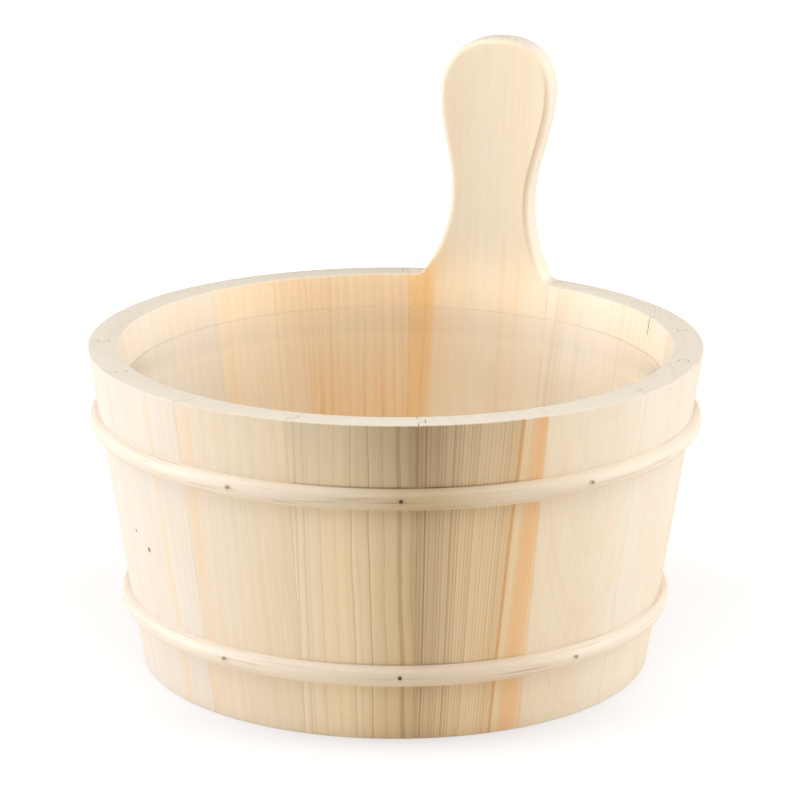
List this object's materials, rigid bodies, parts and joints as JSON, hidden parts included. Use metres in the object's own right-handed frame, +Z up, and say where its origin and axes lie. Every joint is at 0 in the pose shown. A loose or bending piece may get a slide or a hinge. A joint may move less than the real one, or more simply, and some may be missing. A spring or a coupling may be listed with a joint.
{
  "type": "sauna bucket",
  "caption": "Wooden sauna bucket of tapered staves with half-round hoops, one long stave as a paddle-shaped grip and a lift-out plastic liner.",
  "frame": {"origin": "on the surface that the bucket stands on, under the middle of the whole object's box; the bucket's own axis is 8.3 mm towards -Y", "axes": "+Z up; +Y towards the grip; +X to the right when the bucket is seen from the side away from the grip"},
  "size_m": [0.2668, 0.2831, 0.2509],
  "materials": {
    "stave_wood": "planed and sanded bare spruce or pine, pale cream with straight and flat grain",
    "floor_wood": "planed bare spruce or pine",
    "hoop_wood": "smooth peeled half-round wood, pale cream, fine lengthwise streaks",
    "nail_steel": "dark steel pin heads",
    "liner_plastic": "milky translucent moulded plastic with a soft sheen"
  },
  "bodies": {
    "bucket": {"handle_stave": "stave_wood", "stave_01": "stave_wood", "stave_02": "stave_wood", "stave_03": "stave_wood", "stave_04": "stave_wood", "stave_05": "stave_wood", "stave_06": "stave_wood", "stave_07": "stave_wood", "stave_08": "stave_wood", "stave_09": "stave_wood", "stave_10": "stave_wood", "stave_11": "stave_wood", "stave_12": "stave_wood", "stave_13": "stave_wood", "stave_14": "stave_wood", "floor_board_1": "floor_wood", "floor_board_2": "floor_wood", "floor_board_3": "floor_wood", "upper_hoop": "hoop_wood", "lower_hoop": "hoop_wood", "upper_nail_01": "nail_steel", "upper_nail_02": "nail_steel", "upper_nail_03": "nail_steel", "upper_nail_04": "nail_steel", "upper_nail_05": "nail_steel", "upper_nail_06": "nail_steel", "upper_nail_07": "nail_steel", "upper_nail_08": "nail_steel", "upper_nail_09": "nail_steel", "upper_nail_10": "nail_steel", "lower_nail_01": "nail_steel", "lower_nail_02": "nail_steel", "lower_nail_03": "nail_steel", "lower_nail_04": "nail_steel", "lower_nail_05": "nail_steel", "lower_nail_06": "nail_steel", "lower_nail_07": "nail_steel", "lower_nail_08": "nail_steel", "lower_nail_09": "nail_steel", "lower_nail_10": "nail_steel"},
    "liner": {"liner": "liner_plastic"}
  },
  "joints": [
    {"name": "liner_lift", "type": "slide", "parent": "bucket", "child": "liner", "axis": [0, 0, 1], "range_m": [0, 0.235]}
  ]
}
